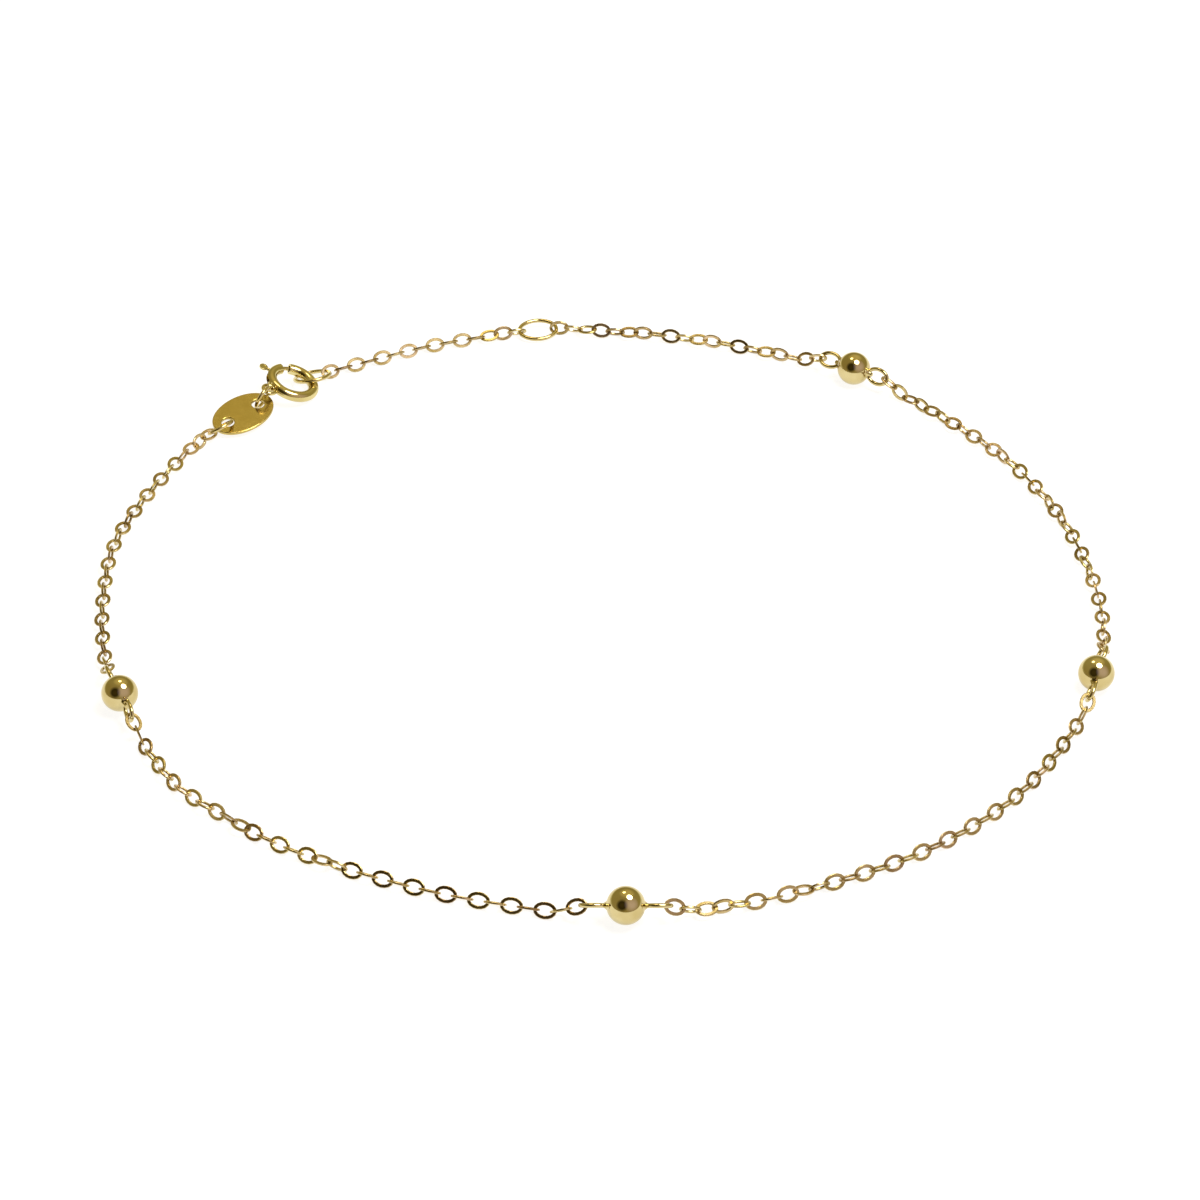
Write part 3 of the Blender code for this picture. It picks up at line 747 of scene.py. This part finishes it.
def hooked_ring(name, node, hook, hold, length, width, hook_point, hold_point, lean):
    """A jump ring, given by its wire's centreline, whose hook_point and hold_point lie on hook and
    hold. It stands on edge, leaning by lean to its left."""
    chord = hold_point - hook_point
    turn = Matrix.Rotation(-math.atan2(chord.y, chord.x), 4, "Z")
    middle = Matrix.Translation(-(hook_point + hold_point) / 2)
    shape = oval_ring(length + jump_wire, width + jump_wire, jump_wire, jump_steps, wire_sides)
    shape.transform(link_frame(hook, hold, math.pi / 2 + lean) @ turn @ middle)
    finish_piece(new_piece(name, shape, jump_gold), node)


eye_centre = clasp_place @ Vector((eye_reach, 0, 0))
near_hole = tag_place @ Vector((-tag_hole_offset, 0, 0))
far_hole = tag_place @ Vector((tag_hole_offset, 0, 0))
half_chord = (near_hole - eye_centre).length / 2
hooked_ring(
    "clasp_jump_ring", "tag_ring_clasp", eye_centre, near_hole, 2 * clasp_ring_radius, 2 * clasp_ring_radius,
    Vector((-half_chord - clasp_ring_ahead, -clasp_ring_above, 0)),
    Vector((half_chord - clasp_ring_ahead, -clasp_ring_above, 0)), clasp_ring_lean,
)
hook_point = Vector((
    chain_ring_length / 2 * math.cos(chain_ring_hole_at),
    chain_ring_width / 2 * math.sin(chain_ring_hole_at), 0,
))
hold_point = Vector((
    (chain_ring_length - jump_wire - jump_gap) / 2 * math.cos(chain_ring_link_at),
    (chain_ring_width - jump_wire - jump_gap) / 2 * math.sin(chain_ring_link_at), 0,
))
hooked_ring(
    "chain_jump_ring", "tag_ring_chain", far_hole, at(*where["chain_left"][0]), chain_ring_length,
    chain_ring_width, hook_point, hold_point, chain_ring_lean,
)

# The table: a sheet of lit white acrylic, as under small jewellery in a light tent, so bright that
# only the faintest shadow shows.
table_size = 1.6
table_top = -0.00006  # the lowest links rest on it
table_light = 0.86
table_white = 0.3
table_rough = 0.9
surface = bpy.data.materials.new("lit_white_acrylic")
surface.use_nodes = True
acrylic = surface.node_tree.nodes["Principled BSDF"]
acrylic.inputs["Base Color"].default_value = (table_white, table_white, table_white, 1)
acrylic.inputs["Roughness"].default_value = table_rough
acrylic.inputs["Specular IOR Level"].default_value = 0.0
acrylic.inputs["Emission Color"].default_value = (1, 1, 1, 1)
acrylic.inputs["Emission Strength"].default_value = table_light
shape = bmesh.new()
bmesh.ops.create_grid(shape, x_segments=1, y_segments=1, size=table_size / 2,
                      matrix=Matrix.Translation((0, 0, table_top)))
table = new_piece("white_table", shape, surface)

# The light: a soft box close above at the right, a small warm lamp behind, and a dim golden tent round
# them. The tent is pale low down behind and darkest in front at the left, with a faint glow high
# behind and a pinkish panel in front at the right.
tent_front = (0.38, 0.31, 0.13)
tent_back_from = -0.2  # of a direction's Y, from where the colours of the tent's back come in
tent_back_full = 0.6
dark_way = (-0.38, -0.68, 0.60)
glow_way = (0.10, 0.48, 0.87)
panel_way = (0.58, -0.55, 0.60)
tent = bpy.data.worlds.new("dim_tent")
bpy.context.scene.world = tent
tent.use_nodes = True
tree = tent.node_tree
new = add_nodes(
    tree, way="ShaderNodeTexCoord", split="ShaderNodeSeparateXYZ", height="ShaderNodeValToRGB",
    back="ShaderNodeMapRange", walls="ShaderNodeMix", to_dark="ShaderNodeVectorMath",
    dark="ShaderNodeValToRGB", darker="ShaderNodeMix", to_glow="ShaderNodeVectorMath",
    glow="ShaderNodeValToRGB", lighter="ShaderNodeMix", to_panel="ShaderNodeVectorMath",
    panel="ShaderNodeValToRGB", all="ShaderNodeMix",
)
set_ramp(new["height"], (0.0, (0.90, 0.92, 0.70)), (0.06, (0.75, 0.72, 0.44)), (0.16, (0.38, 0.32, 0.12)),
         (1.0, (0.42, 0.36, 0.16)))
set_ramp(new["dark"], (0.77, (1, 1, 1)), (0.92, (0.10, 0.09, 0.06)), (1.0, (0.16, 0.14, 0.08)))
set_ramp(new["glow"], (0.80, (0, 0, 0)), (0.97, (0.30, 0.25, 0.12)))
set_ramp(new["panel"], (0.70, (0, 0, 0)), (0.98, (0.30, 0.25, 0.46)))
new["back"].inputs["From Min"].default_value = tent_back_from
new["back"].inputs["From Max"].default_value = tent_back_full
for towards, way in (("to_dark", dark_way), ("to_glow", glow_way), ("to_panel", panel_way)):
    new[towards].operation = "DOT_PRODUCT"
    new[towards].inputs[1].default_value = way
for mix, blend in (("walls", "MIX"), ("darker", "MULTIPLY"), ("lighter", "ADD"), ("all", "ADD")):
    new[mix].data_type = "RGBA"
    new[mix].blend_type = blend
    new[mix].inputs["Factor"].default_value = 1.0
new["walls"].inputs["A"].default_value = (*tent_front, 1)
for source, output, target, socket in (
    ("way", "Generated", "split", 0), ("way", "Generated", "to_dark", 0),
    ("way", "Generated", "to_glow", 0), ("way", "Generated", "to_panel", 0),
    ("split", "Z", "height", "Fac"), ("split", "Y", "back", "Value"),
    ("back", "Result", "walls", "Factor"), ("height", "Color", "walls", "B"),
    ("to_dark", "Value", "dark", "Fac"), ("walls", "Result", "darker", "A"), ("dark", "Color", "darker", "B"),
    ("to_glow", "Value", "glow", "Fac"), ("darker", "Result", "lighter", "A"),
    ("glow", "Color", "lighter", "B"), ("to_panel", "Value", "panel", "Fac"),
    ("lighter", "Result", "all", "A"), ("panel", "Color", "all", "B"),
):
    tree.links.new(new[source].outputs[output], new[target].inputs[socket])
tree.links.new(new["all"].outputs["Result"], tree.nodes["Background"].inputs["Color"])

for name, place, size, power, colour in (
    ("soft_box", (0.095, -0.024, 0.26), 0.15, 0.56, (1.0, 0.99, 0.97)),
    ("warm_lamp", (-0.03, 0.1, 0.21), 0.06, 0.045, (1.0, 0.86, 0.62)),
):
    lamp = bpy.data.lights.new(name, "AREA")
    lamp.shape = "DISK"
    lamp.size = size
    lamp.energy = power
    lamp.color = colour
    holder = bpy.data.objects.new(name, lamp)
    holder.location = place
    holder.rotation_euler = (-Vector(place)).to_track_quat("-Z", "Y").to_euler()
    bpy.context.collection.objects.link(holder)

# The camera, placed as the photograph's was: a third of a metre off and 37 degrees up, with a long
# lens that takes in the whole anklet. Its values are fitted to where the pieces lie in the photo.
camera_lens = 117.4
camera_distance = 0.3293
camera_azimuth = math.radians(-0.11)
camera_elevation = math.radians(36.93)
camera_roll = math.radians(0.22)
camera_target = Vector((-0.000087, -0.000145, 0.0))
lens = bpy.data.cameras.new("camera")
lens.sensor_width = 36
lens.lens = camera_lens
lens.clip_start = 0.01
camera = bpy.data.objects.new("camera", lens)
outwards = Vector((
    -math.sin(camera_azimuth) * math.cos(camera_elevation),
    -math.cos(camera_azimuth) * math.cos(camera_elevation), math.sin(camera_elevation),
))
aim = (-outwards).to_track_quat("-Z", "Y").to_matrix().to_4x4() @ Matrix.Rotation(camera_roll, 4, "Z")
camera.matrix_world = Matrix.Translation(camera_target + outwards * camera_distance) @ aim
bpy.context.collection.objects.link(camera)
bpy.context.scene.camera = camera
bpy.context.scene.view_settings.view_transform = "Standard"
